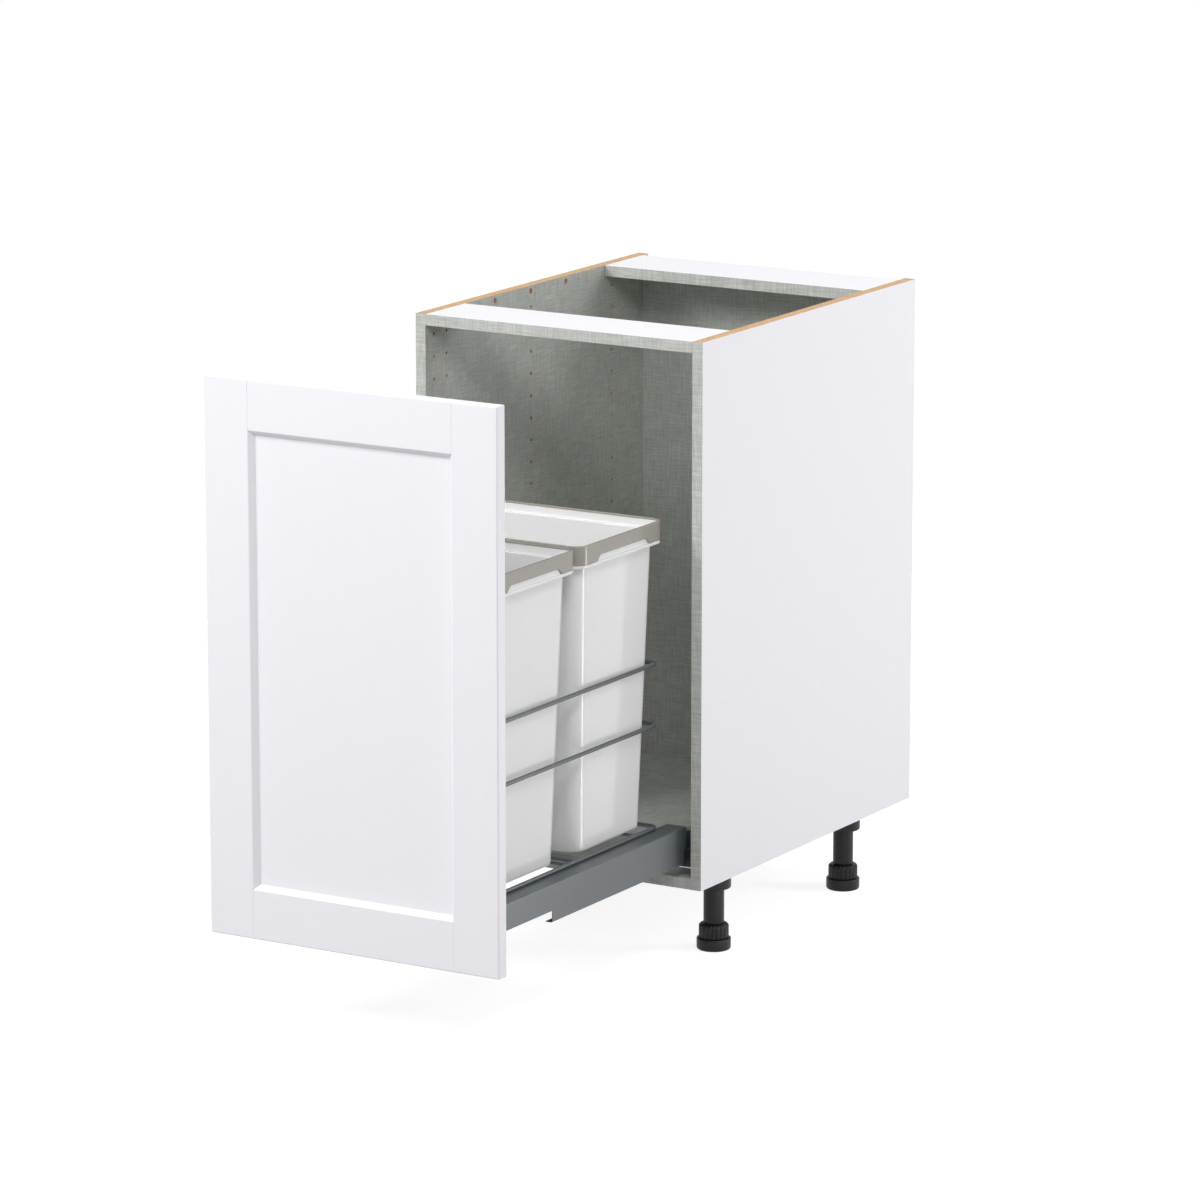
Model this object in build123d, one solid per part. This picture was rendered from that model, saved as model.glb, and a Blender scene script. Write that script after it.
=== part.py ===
"""Pull-out waste-bin base cabinet: frameless case on levelling legs, concealed runners, two bins."""
import os

from build123d import *

# Case boards, in millimetres. X is the width, Y runs to the back and Z is up.
CASE_W = 457.2
CASE_H = 762.0
CASE_D = 606.0
LEG_H = 114.3
BOARD = 16.0
STRETCHER_FRONT_D = 102.0
STRETCHER_REAR_D = 108.0
BACK_DROP = 8.0

# Dowels that join the boards.
DOWEL_R = 4.0
DOWEL_IN_SIDE = 11.0
DOWEL_IN_BOARD = 19.0
DOWEL_PLAY = 0.1
DOWEL_END_ROOM = 0.5
DOWEL_EDGE = 26.0
BACK_DOWEL_EDGE = 78.0

# Shelf-pin holes on the 32 mm system grid.
PIN_R = 2.5
PIN_DEPTH = 12.0
PIN_PITCH = 32.0
PIN_ROWS = 12
PIN_TOP = 30.8
PIN_FRONT = 22.0
PIN_REAR = 104.0
SPARE_DOWEL_STEP = 96.0

# Levelling legs.
LEG_SIDE = 28.6
LEG_FRONT = 114.0
LEG_REAR = 118.0
SOCKET_R = 24.0
SOCKET_H = 26.3
SOCKET_BORE_H = 19.0
SOCKET_EDGE = 3.0
PEG_R = 5.0
PEG_H = 12.0
TUBE_R = 14.6
TUBE_WALL = 4.6
COLLAR_R = 21.0
COLLAR_H = 20.2
COLLAR_CHAMFER = 2.0
COLLAR_RIBS = 20
RIB_DEPTH = 1.4
RIB_GROOVE_W = 2.6
STEM_H = 45.0
CUP_R = 24.0
CUP_H = 16.5
CUP_EDGE = 2.5
PIVOT_R = 8.0
PIVOT_H = 6.0
RUN_PLAY = 0.3

# Five-piece shaker front.
DOOR_T = 19.0
DOOR_SIDE_REVEAL = 2.4
DOOR_BOTTOM_REVEAL = 1.7
DOOR_TOP_REVEAL = 4.1
DOOR_GAP = 1.0
STILE_W = 69.0
RAIL_W = 68.0
STICKING_W = 7.0
STICKING_D = 8.0
PANEL_T = 6.0
PANEL_TONGUE = 9.0
PANEL_PLAY = 0.5
DOOR_EDGE = 1.2

# Pull-out travel and its two side profiles of folded steel.
TRAVEL = 500.0
PROFILE_CLEAR = 12.6
PROFILE_W = 31.0
PROFILE_H = 51.8
PROFILE_RISE = 17.9
PROFILE_T = 1.2
PROFILE_ROUND = 2.0
PROFILE_INNER_H = 44.0
PROFILE_LIP = 9.0
PROFILE_PAST_FRONT = 10.0
NOTCH_L = 158.0
NOTCH_H = 15.4
LIP_TIP = 3.0

# Concealed three-member runner with roller cages.
RAIL_T = 1.5
MEMBER_T = 1.2
FLANGE_H = 26.0
CHANNEL_DROP = 4.4
CHANNEL_TOP = 13.0
CHANNEL_BACK = 25.4
CHANNEL_DEPTH = 10.2
MIDDLE_BACK_ROOM = 1.9
MIDDLE_DEPTH = 9.0
DRAWER_DEPTH = 10.3
ROLLER_R = 1.5
ROLLER_PLAY = 0.3
ROLLER_L = 5.0
ROLLERS = 5
ROLLER_STEP = 30.0
CAGE_L = 150.0
CAGE_T = 2.0
CAGE_W = 7.0
CAGE_WEB = 1.0
CAGE_ROOM = 0.5
WINDOW_ROOM = 0.2
RAIL_FRONT = 3.0
CAP_L = 14.0
CAP_W = 11.8
CAP_ROUND = 3.0
RAIL_SCREW_R = 2.3
RAIL_SCREW_HEAD_R = 4.0
RAIL_SCREW_HEAD_H = 2.2
RAIL_SCREW_L = 10.0
RAIL_SCREW_EDGE = 51.0

# Wire frame of the pull-out.
WIRE_R = 3.0
CROSS_R = 2.5
WIRE_BEND = 10.0
WIRE_TO_CASE = 22.8
GALLERY_LOW = 144.5
GALLERY_HIGH = 230.0
CROSS_CARRY = 46.0
CROSS_STOP = 94.5
STRIP_OFF = 104.5
STRIP_W = 19.0
ROD_R = 2.0
ROD_X = 70.0
ROD_RISE = 0.3
FRONT_END_ROOM = 6.0

# Angle brackets that carry the front.
BRACKET_T = 2.0
BRACKET_W = 25.0
BRACKET_DEPTH = 38.0
BRACKET_ABOVE = 22.0
BRACKET_BELOW = 46.0
BRACKET_SEAT = 0.5
FRONT_SCREW_R = 2.0
FRONT_SCREW_HEAD_R = 4.5
FRONT_SCREW_HEAD_H = 2.6
FRONT_SCREW_IN = 13.0
FRONT_SCREWS = 3
FRONT_SCREW_STEP = 96.0
SCREW_PLAY = 0.15

# Waste bins and their bag rings.
RING_TO_CASE = 15.5
RING_TO_DOOR = 37.0
RING_GAP = 6.5
RING_OVER_WIRE = 5.6
RING_CORNER = 20.0
RING_H = 26.0
RING_NOTCH = 8.4
RING_NOTCH_SLOPE = 12.0
RING_TAB = 40.0
RING_T = 2.2
RING_TOP_T = 2.5
RING_TOP_W = 4.4
RING_ROUND = 1.0
BIN_SEAT = 0.3
BIN_H = 424.0
BIN_WALL = 1.6
BIN_INSET = 9.3
BIN_TAPER_X = 12.0
BIN_TAPER_Y = 14.5
BIN_FOOT = 5.0
BIN_SHOULDER = 12.0
BIN_BEAD_H = 4.6
BIN_RING_PLAY = 0.4

# Places worked out from the sizes above. The box of the open cabinet is centred on X and Y.
CASE_X = CASE_W / 2
SIDE_IN = CASE_X - BOARD
CASE_TOP = LEG_H + CASE_H
CASE_FLOOR = LEG_H + BOARD
CASE_FRONT = (TRAVEL + DOOR_GAP + DOOR_T - CASE_D) / 2
CASE_BACK = CASE_FRONT + CASE_D
BACK_IN = CASE_BACK - BOARD
STRETCHER_Z = CASE_TOP - BOARD
PIN_MIDDLE = (PIN_FRONT + PIN_PITCH + CASE_D - PIN_REAR) / 2
LEG_X = SIDE_IN - LEG_SIDE
LEG_YS = {"front": CASE_FRONT + LEG_FRONT, "rear": CASE_BACK - LEG_REAR}
DOOR_BACK = CASE_FRONT - DOOR_GAP - TRAVEL
DOOR_FRONT = DOOR_BACK - DOOR_T
DOOR_X = CASE_X - DOOR_SIDE_REVEAL
DOOR_LOW = LEG_H + DOOR_BOTTOM_REVEAL
DOOR_HIGH = CASE_TOP - DOOR_TOP_REVEAL
RECESS_X = DOOR_X - STILE_W
RECESS_LOW = DOOR_LOW + RAIL_W
RECESS_HIGH = DOOR_HIGH - RAIL_W
PROFILE_OUT = SIDE_IN - PROFILE_CLEAR
PROFILE_IN = PROFILE_OUT - PROFILE_W
PROFILE_LOW = CASE_FLOOR + PROFILE_RISE
PROFILE_TOP = PROFILE_LOW + PROFILE_H
PROFILE_FRONT = DOOR_BACK + BRACKET_T
PROFILE_REAR = CASE_FRONT + PROFILE_PAST_FRONT
NOTCH_Y = DOOR_BACK + NOTCH_L
RUNNER_L = TRAVEL
ROLLER_GAP = 2 * (ROLLER_R + ROLLER_PLAY)
CHANNEL_LOW = PROFILE_LOW - CHANNEL_DROP
CHANNEL_HIGH = PROFILE_TOP - CHANNEL_TOP
CHANNEL_X = SIDE_IN - CHANNEL_BACK
MIDDLE_X = CHANNEL_X - RAIL_T - MIDDLE_BACK_ROOM
MIDDLE_LOW = CHANNEL_LOW + RAIL_T + ROLLER_GAP
MIDDLE_HIGH = CHANNEL_HIGH - RAIL_T - ROLLER_GAP
DRAWER_X = PROFILE_IN + PROFILE_T
DRAWER_LOW = MIDDLE_LOW + MEMBER_T + ROLLER_GAP
DRAWER_HIGH = MIDDLE_HIGH - MEMBER_T - ROLLER_GAP
RAIL_Y = CASE_FRONT + RAIL_FRONT
MIDDLE_Y = RAIL_Y - TRAVEL / 2
DRAWER_Y = RAIL_Y - TRAVEL
RAIL_SCREW_Z = CHANNEL_LOW + FLANGE_H / 2
WIRE_X = PROFILE_IN + WIRE_R
WIRE_REAR = CASE_FRONT - WIRE_TO_CASE
WIRE_FRONT = DOOR_BACK + FRONT_END_ROOM
WIRE_Z = PROFILE_TOP + WIRE_R
BRACKET_X = WIRE_X + WIRE_R
BRACKET_TOP = WIRE_Z + GALLERY_HIGH + BRACKET_ABOVE
RING_X = BRACKET_X + RING_OVER_WIRE
RING_L = (TRAVEL + DOOR_GAP - RING_TO_CASE - RING_TO_DOOR - RING_GAP) / 2
RING_Y = RING_L / 2
ROD_Z = WIRE_Z + ROD_RISE
BIN_LOW = ROD_Z + ROD_R + BIN_SEAT
BIN_TOP = BIN_LOW + BIN_H
RING_TOP = BIN_TOP + BIN_SEAT + RING_TOP_T
RING_LOW = RING_TOP - RING_H
BIN_X = RING_X - BIN_INSET
BIN_Y = RING_Y - BIN_INSET
COLLAR_X = RING_X - RING_T - BIN_RING_PLAY
COLLAR_Y = RING_Y - RING_T - BIN_RING_PLAY
COLLAR_CORNER = RING_CORNER - RING_T - BIN_RING_PLAY
BIN_CENTRES = {
    "rear": CASE_FRONT - RING_TO_CASE - RING_Y,
    "front": CASE_FRONT - RING_TO_CASE - RING_GAP - RING_L - RING_Y,
}


def block(x, y, z):
    """A box given by its limits along each axis."""
    size = (x[1] - x[0], y[1] - y[0], z[1] - z[0])
    return Pos(x[0], y[0], z[0]) * Box(*size, align=(Align.MIN, Align.MIN, Align.MIN))


def post(x, y, z, radius, height):
    """An upright cylinder that stands on z."""
    return Pos(x, y, z) * Cylinder(radius, height, align=(Align.CENTER, Align.CENTER, Align.MIN))


def across(x, y, z, radius, length):
    """A cylinder along X that starts at x."""
    lying = Rot(0, 90, 0) * Cylinder(radius, length, align=(Align.CENTER, Align.CENTER, Align.MIN))
    return Pos(x, y, z) * lying


def backwards(x, y, z, radius, length):
    """A cylinder along Y that starts at y."""
    lying = Rot(-90, 0, 0) * Cylinder(radius, length, align=(Align.CENTER, Align.CENTER, Align.MIN))
    return Pos(x, y, z) * lying


def along_y(section, start, end):
    """An X-Z section drawn out from start to end along Y."""
    return extrude(Plane.XZ.offset(-start) * section, end - start, dir=(0, 1, 0))


def rounded_slab(half_x, half_y, corner, z, height):
    """A flat plate with rounded corners, centred on the origin."""
    return extrude(Pos(0, 0, z) * RectangleRounded(2 * half_x, 2 * half_y, corner), height)


def left_of(part):
    """The same piece for the left-hand side."""
    return mirror(part, about=Plane.YZ)


def pin_places():
    """Y and Z of the shelf-pin holes in one side."""
    columns = (PIN_FRONT, PIN_FRONT + PIN_PITCH, PIN_MIDDLE, CASE_D - PIN_REAR)
    heights = [CASE_TOP - PIN_TOP - PIN_PITCH * row for row in range(PIN_ROWS)]
    return [(CASE_FRONT + column, z) for column in columns for z in heights]


def spare_dowel_places():
    """Y and Z of the open dowel holes near the top edge of one side."""
    steps = (-SPARE_DOWEL_STEP, 0, SPARE_DOWEL_STEP)
    return [(CASE_FRONT + PIN_MIDDLE + step, CASE_TOP - BOARD / 2) for step in steps]


def rail_screw_places():
    """Y and Z of the runner's screws in one side."""
    ends = (RAIL_Y + RAIL_SCREW_EDGE, RAIL_Y + RUNNER_L / 2, RAIL_Y + RUNNER_L - RAIL_SCREW_EDGE)
    return [(y, RAIL_SCREW_Z) for y in ends]


def dowel_places(name):
    """Y and Z of the dowels at one end of a board."""
    floor_z = LEG_H + BOARD / 2
    top_z = CASE_TOP - BOARD / 2
    back_y = CASE_BACK - BOARD / 2
    rear_y = BACK_IN - STRETCHER_REAR_D
    middle_y = (CASE_FRONT + BACK_IN) / 2
    back_low = CASE_FLOOR + BACK_DOWEL_EDGE
    back_high = STRETCHER_Z - BACK_DOWEL_EDGE
    places = {
        "bottom": [(y, floor_z) for y in (CASE_FRONT + DOWEL_EDGE, middle_y, BACK_IN - DOWEL_EDGE)],
        "front": [(CASE_FRONT + DOWEL_EDGE, top_z), (CASE_FRONT + STRETCHER_FRONT_D - DOWEL_EDGE, top_z)],
        "rear": [(rear_y + DOWEL_EDGE, top_z), (BACK_IN - DOWEL_EDGE, top_z)],
        "back": [(back_y, z) for z in (back_low, (back_low + back_high) / 2, back_high)],
    }
    return places[name]


def dowel_bores(name):
    """Bores that run through the joint between a board and the right side."""
    start = SIDE_IN - DOWEL_IN_BOARD
    length = DOWEL_IN_BOARD + DOWEL_IN_SIDE
    return [across(start, y, z, DOWEL_R + DOWEL_PLAY, length) for y, z in dowel_places(name)]


def both_sides(parts):
    """Pieces for the right side, and their mirrored twins."""
    return parts + [left_of(part) for part in parts]


def side_panel():
    panel = block((SIDE_IN, CASE_X), (CASE_FRONT, CASE_BACK), (LEG_H, CASE_TOP))
    bores = [across(SIDE_IN, y, z, PIN_R, PIN_DEPTH) for y, z in pin_places() + rail_screw_places()]
    bores += [across(SIDE_IN, y, z, DOWEL_R, PIN_DEPTH) for y, z in spare_dowel_places()]
    for name in ("bottom", "front", "rear", "back"):
        bores += dowel_bores(name)
    return panel - bores


def bottom_panel():
    panel = block((-SIDE_IN, SIDE_IN), (CASE_FRONT, BACK_IN), (LEG_H, CASE_FLOOR))
    pegs = [post(x, y, LEG_H, PEG_R, PEG_H) for x in (-LEG_X, LEG_X) for y in LEG_YS.values()]
    return panel - both_sides(dowel_bores("bottom")) - pegs


def back_panel():
    panel = block((-SIDE_IN, SIDE_IN), (BACK_IN, CASE_BACK), (LEG_H, CASE_TOP - BACK_DROP))
    return panel - both_sides(dowel_bores("back"))


def stretcher(name, start, depth):
    panel = block((-SIDE_IN, SIDE_IN), (start, start + depth), (STRETCHER_Z, CASE_TOP))
    return panel - both_sides(dowel_bores(name))


def case_dowels():
    start = SIDE_IN - DOWEL_IN_BOARD + DOWEL_END_ROOM
    length = DOWEL_IN_BOARD + DOWEL_IN_SIDE - 2 * DOWEL_END_ROOM
    names = ("bottom", "front", "rear", "back")
    places = [place for name in names for place in dowel_places(name)]
    return both_sides([across(start, y, z, DOWEL_R, length) for y, z in places])


def leg_socket(x, y):
    low = LEG_H - SOCKET_H
    body = post(x, y, low, SOCKET_R, SOCKET_H)
    body = chamfer(body.edges().sort_by(Axis.Z)[0], SOCKET_EDGE)
    return body - post(x, y, low, TUBE_R, SOCKET_BORE_H) + post(x, y, LEG_H, PEG_R, PEG_H)


def leg_tube(x, y):
    low = CUP_H + RUN_PLAY + COLLAR_H + RUN_PLAY
    height = LEG_H - SOCKET_H + SOCKET_BORE_H - low
    return post(x, y, low, TUBE_R, height) - post(x, y, low, TUBE_R - TUBE_WALL, height)


def foot_collar(x, y):
    """Ribbed collar that turns, with its stem in the tube and its pivot in the cup."""
    low = CUP_H + RUN_PLAY
    body = Cylinder(COLLAR_R, COLLAR_H, align=(Align.CENTER, Align.CENTER, Align.MIN))
    body = chamfer(body.edges().sort_by(Axis.Z)[-1], COLLAR_CHAMFER)
    half = RIB_GROOVE_W / 2
    groove = extrude(
        Polygon(
            (COLLAR_R - RIB_DEPTH, 0), (COLLAR_R, -half), (COLLAR_R + half, 0), (COLLAR_R, half), align=None,
        ),
        COLLAR_H,
    )
    body -= [place * groove for place in PolarLocations(0, COLLAR_RIBS)]
    body += post(0, 0, COLLAR_H, TUBE_R - TUBE_WALL - RUN_PLAY, STEM_H)
    body += post(0, 0, -PIVOT_H, PIVOT_R, PIVOT_H)
    return Pos(x, y, low) * body


def foot_cup(x, y):
    body = post(x, y, 0, CUP_R, CUP_H)
    body = chamfer(body.edges().sort_by(Axis.Z)[0], CUP_EDGE)
    return body - post(x, y, CUP_H - PIVOT_H, PIVOT_R + RUN_PLAY, PIVOT_H)


def door_frame():
    """The four frame members as one block, before they are parted at their joints."""
    frame = block((-DOOR_X, DOOR_X), (DOOR_FRONT, DOOR_BACK), (DOOR_LOW, DOOR_HIGH))
    frame = chamfer(frame.faces().sort_by(Axis.Y)[0].edges(), DOOR_EDGE)
    mid_z = (RECESS_LOW + RECESS_HIGH) / 2
    width = 2 * RECESS_X
    height = RECESS_HIGH - RECESS_LOW
    inner = (width - 2 * STICKING_W, height - 2 * STICKING_W)
    groove = (inner[0] + 2 * PANEL_TONGUE, inner[1] + 2 * PANEL_TONGUE)
    front = Plane.XZ.offset(-DOOR_FRONT) * Pos(0, mid_z) * Rectangle(width, height)
    step = Plane.XZ.offset(-DOOR_FRONT - STICKING_D) * Pos(0, mid_z)
    sticking = loft([front, step * Rectangle(*inner)], ruled=True)
    opening = extrude(step * Rectangle(*inner), STICKING_D - DOOR_T)
    return frame - sticking - extrude(step * Rectangle(*groove), -PANEL_T) - opening


def stile_shape():
    """Outline of the right stile, mitred into the sticking at the recess corners."""
    mitre = STICKING_W + PANEL_TONGUE
    return Polygon(
        (DOOR_X, DOOR_LOW), (DOOR_X, DOOR_HIGH), (RECESS_X, DOOR_HIGH), (RECESS_X, RECESS_HIGH),
        (RECESS_X - mitre, RECESS_HIGH - mitre), (RECESS_X - mitre, RECESS_LOW + mitre),
        (RECESS_X, RECESS_LOW), (RECESS_X, DOOR_LOW), align=None,
    )


def front_screw_places():
    """X and Z of the screws in the right stile."""
    top = BRACKET_TOP - BRACKET_ABOVE
    return [(BRACKET_X + BRACKET_W / 2, top - FRONT_SCREW_STEP * i) for i in range(FRONT_SCREWS)]


def door_parts():
    frame = door_frame()
    reach = along_y(stile_shape(), DOOR_FRONT, DOOR_BACK)
    pilots = [
        backwards(x, DOOR_BACK - FRONT_SCREW_IN, z, FRONT_SCREW_R + SCREW_PLAY, FRONT_SCREW_IN)
        for x, z in front_screw_places()
    ]
    stile = (frame & reach) - pilots
    rails = (frame - reach - left_of(reach)).solids().sort_by(Axis.Z)
    play = PANEL_TONGUE - STICKING_W - PANEL_PLAY
    sides = (-RECESS_X - play, RECESS_X + play)
    panel_y = DOOR_FRONT + STICKING_D
    panel = block(sides, (panel_y, panel_y + PANEL_T), (RECESS_LOW - play, RECESS_HIGH + play))
    return {
        "door_stile_right": stile,
        "door_stile_left": left_of(stile),
        "door_rail_bottom": rails[0],
        "door_rail_top": rails[1],
        "door_panel": panel,
    }


def front_bracket():
    """Right-hand steel angle: a leaf on the stile, and a leaf that the wires are welded to."""
    low = PROFILE_TOP - BRACKET_BELOW
    leaf_x = (BRACKET_X, BRACKET_X + BRACKET_W)
    leaf = block(leaf_x, (DOOR_BACK, DOOR_BACK + BRACKET_T), (low, BRACKET_TOP))
    arm_x = (BRACKET_X, BRACKET_X + BRACKET_T)
    arm = block(arm_x, (DOOR_BACK, DOOR_BACK + BRACKET_DEPTH), (PROFILE_TOP + BRACKET_SEAT, BRACKET_TOP))
    bores = [
        backwards(x, DOOR_BACK, z, FRONT_SCREW_R + SCREW_PLAY, BRACKET_T) for x, z in front_screw_places()
    ]
    return leaf + arm - bores


def front_screws():
    screws = []
    for x, z in front_screw_places():
        shank_l = FRONT_SCREW_IN - SCREW_PLAY + BRACKET_T
        shank = backwards(x, DOOR_BACK - FRONT_SCREW_IN + SCREW_PLAY, z, FRONT_SCREW_R, shank_l)
        head = backwards(x, DOOR_BACK + BRACKET_T, z, FRONT_SCREW_HEAD_R, FRONT_SCREW_HEAD_H)
        screws.append(shank + head)
    return both_sides(screws)


def side_profile():
    """Right-hand profile: folded sheet, rounded outer edge, notched below at its front end."""
    middle_x = (PROFILE_IN + PROFILE_OUT) / 2
    outer = Pos(middle_x, PROFILE_LOW + PROFILE_H / 2) * Rectangle(PROFILE_W, PROFILE_H)
    outer = fillet(outer.vertices().group_by(Axis.X)[-1].sort_by(Axis.Y)[-1], PROFILE_ROUND)
    mouth = Pos(middle_x, PROFILE_LOW) * Rectangle(PROFILE_W - 2 * PROFILE_T, PROFILE_H)
    section = outer - offset(outer, -PROFILE_T) - mouth
    body = along_y(section, PROFILE_FRONT, PROFILE_REAR)
    length = (PROFILE_FRONT, PROFILE_REAR)
    inner_wall = (PROFILE_IN, PROFILE_IN + PROFILE_T)
    lip = (PROFILE_OUT - PROFILE_LIP, PROFILE_OUT)
    lip_top = PROFILE_LOW + PROFILE_T
    notch_top = PROFILE_LOW + NOTCH_H
    body -= block(inner_wall, length, (PROFILE_LOW, PROFILE_TOP - PROFILE_INNER_H))
    body += block(lip, length, (PROFILE_LOW, lip_top))
    body -= block(lip, (PROFILE_FRONT, NOTCH_Y), (lip_top, notch_top))
    return body - block(lip, (PROFILE_FRONT, NOTCH_Y - LIP_TIP), (PROFILE_LOW, notch_top))


def channel(x, depth, low, high, sheet):
    """A C section whose back is at x; a positive depth opens it towards the middle of the cabinet."""
    side = 1 if depth > 0 else -1
    outer = Polygon((x, low), (x, high), (x - depth, high), (x - depth, low), align=None)
    hollow_x = x - side * sheet
    hollow = Polygon(
        (hollow_x, low + sheet), (hollow_x, high - sheet),
        (x - depth, high - sheet), (x - depth, low + sheet), align=None,
    )
    return outer - hollow


def cabinet_rail():
    """Fixed member: a channel inside the profile, carried by a folded bracket on the side panel."""
    track = channel(CHANNEL_X, CHANNEL_DEPTH, CHANNEL_LOW, CHANNEL_HIGH, RAIL_T)
    bracket = Polygon(
        (CHANNEL_X, CHANNEL_LOW), (SIDE_IN, CHANNEL_LOW), (SIDE_IN, CHANNEL_LOW + FLANGE_H),
        (SIDE_IN - RAIL_T, CHANNEL_LOW + FLANGE_H), (SIDE_IN - RAIL_T, CHANNEL_LOW + RAIL_T),
        (CHANNEL_X, CHANNEL_LOW + RAIL_T), align=None,
    )
    body = along_y(track + bracket, RAIL_Y, RAIL_Y + RUNNER_L)
    bore_r = RAIL_SCREW_R + SCREW_PLAY
    return body - [across(SIDE_IN - RAIL_T, y, z, bore_r, RAIL_T) for y, z in rail_screw_places()]


def rail_cap():
    """Moulded end cap on the front of the fixed member's bracket."""
    low = CHANNEL_LOW + RAIL_T
    x = (SIDE_IN - CAP_W, SIDE_IN - RAIL_T)
    body = block(x, (RAIL_Y, RAIL_Y + CAP_L), (low, CHANNEL_LOW + FLANGE_H))
    edges = body.edges().filter_by(Axis.X).group_by(Axis.Y)[0].sort_by(Axis.Z)
    return fillet(edges[-1], CAP_ROUND)


def rail_screws():
    screws = []
    for y, z in rail_screw_places():
        shank = across(SIDE_IN - RAIL_T, y, z, RAIL_SCREW_R, RAIL_SCREW_L)
        head = across(SIDE_IN - RAIL_T - RAIL_SCREW_HEAD_H, y, z, RAIL_SCREW_HEAD_R, RAIL_SCREW_HEAD_H)
        screws.append(shank + head)
    return both_sides(screws)


def middle_member():
    section = channel(MIDDLE_X, MIDDLE_DEPTH, MIDDLE_LOW, MIDDLE_HIGH, MEMBER_T)
    return along_y(section, MIDDLE_Y, MIDDLE_Y + RUNNER_L)


def drawer_member():
    section = channel(DRAWER_X, -DRAWER_DEPTH, DRAWER_LOW, DRAWER_HIGH, MEMBER_T)
    return along_y(section, DRAWER_Y, DRAWER_Y + RUNNER_L)


def roller_cage(web_x, low, high, centre_y):
    """A cage strip above and below with rollers in its windows, joined by a web at web_x."""
    half = ROLLER_GAP / 2
    start = centre_y - CAGE_L / 2
    strip_x = (web_x - CAGE_W, web_x)
    levels = (low - half, high + half)
    cage = block((web_x - CAGE_WEB, web_x), (start, start + CAGE_L), (levels[0], levels[1]))
    rollers = []
    for z in levels:
        cage += block(strip_x, (start, start + CAGE_L), (z - CAGE_T / 2, z + CAGE_T / 2))
    window_half = ROLLER_R + WINDOW_ROOM
    roller_x = web_x - CAGE_WEB - WINDOW_ROOM - ROLLER_L
    windows = []
    for z in levels:
        for i in range(ROLLERS):
            y = centre_y + (i - (ROLLERS - 1) / 2) * ROLLER_STEP
            x = (roller_x - WINDOW_ROOM, roller_x + ROLLER_L + WINDOW_ROOM)
            windows.append(block(x, (y - window_half, y + window_half), (z - CAGE_T, z + CAGE_T)))
            rollers.append(across(roller_x, y, z, ROLLER_R, ROLLER_L))
    return [cage - windows] + rollers


def outer_cage():
    """Cage midway in the stretch that the fixed and the middle member share."""
    web_x = MIDDLE_X + CAGE_ROOM + CAGE_WEB
    return roller_cage(web_x, MIDDLE_LOW, MIDDLE_HIGH, (RAIL_Y + MIDDLE_Y + RUNNER_L) / 2)


def inner_cage():
    """Cage midway in the stretch that the middle and the drawer member share."""
    web_x = MIDDLE_X - MEMBER_T - CAGE_ROOM
    return roller_cage(web_x, DRAWER_LOW, DRAWER_HIGH, (MIDDLE_Y + DRAWER_Y + RUNNER_L) / 2)


def gallery_wire(z):
    """A U of round wire, open towards the front, at height z."""
    path = FilletPolyline(
        (-WIRE_X, WIRE_FRONT, z), (-WIRE_X, WIRE_REAR, z), (WIRE_X, WIRE_REAR, z), (WIRE_X, WIRE_FRONT, z),
        radius=WIRE_BEND,
    )
    return sweep(Plane(path @ 0, z_dir=path % 0) * Circle(WIRE_R), path=path)


def cross_wires():
    """Floor of the wire frame: wires and a strip across it, and two rods along it that carry the bins."""
    rear, front = BIN_CENTRES["rear"], BIN_CENTRES["front"]
    base = gallery_wire(WIRE_Z)
    last = front - CROSS_STOP
    places = (rear + CROSS_CARRY, front + CROSS_STOP, last)
    wires = [across(-WIRE_X, y, WIRE_Z, CROSS_R, 2 * WIRE_X) - base for y in places]
    strip_y = (rear - STRIP_OFF - STRIP_W / 2, rear - STRIP_OFF + STRIP_W / 2)
    wires.append(block((-WIRE_X, WIRE_X), strip_y, (WIRE_Z - CROSS_R, WIRE_Z + CROSS_R)) - base)
    rods = []
    for x in (-ROD_X, ROD_X):
        rod = backwards(x, last, ROD_Z, ROD_R, WIRE_REAR - last) - base
        for wire in wires:
            rod -= wire
        rods += rod.solids()
    return wires + rods


def tapered(half_x, half_y, inset, low, high):
    """A tapered bin core with a drawn-in foot, sized at its top and inset all round."""
    corner = RING_CORNER - inset
    foot_x = half_x - BIN_TAPER_X
    foot_y = half_y - BIN_TAPER_Y
    levels = [
        (low, foot_x - BIN_FOOT, foot_y - BIN_FOOT, corner - BIN_FOOT),
        (low + BIN_FOOT, foot_x, foot_y, corner),
        (high, half_x, half_y, corner),
    ]
    outlines = [
        Pos(0, 0, z) * RectangleRounded(2 * (x - inset), 2 * (y - inset), r) for z, x, y, r in levels
    ]
    return loft(outlines, ruled=True)


def bin_body():
    """Bin with a shoulder near its mouth, a straight collar, and a skirt with a bead under the ring."""
    shoulder = BIN_TOP - BIN_SHOULDER
    skirt_low = RING_LOW - BIN_SEAT - BIN_BEAD_H
    inside = (COLLAR_X - BIN_WALL, COLLAR_Y - BIN_WALL, COLLAR_CORNER - BIN_WALL)
    collar = rounded_slab(COLLAR_X, COLLAR_Y, COLLAR_CORNER, skirt_low, BIN_TOP - skirt_low)
    collar += rounded_slab(RING_X, RING_Y, RING_CORNER, skirt_low, BIN_BEAD_H)
    collar -= rounded_slab(*inside, skirt_low, shoulder - skirt_low)
    body = tapered(BIN_X, BIN_Y, 0, BIN_LOW, shoulder) + collar
    body -= tapered(BIN_X, BIN_Y, BIN_WALL, BIN_LOW + BIN_WALL, shoulder + BIN_WALL)
    return body - rounded_slab(*inside, shoulder + BIN_WALL, BIN_SHOULDER)


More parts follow.
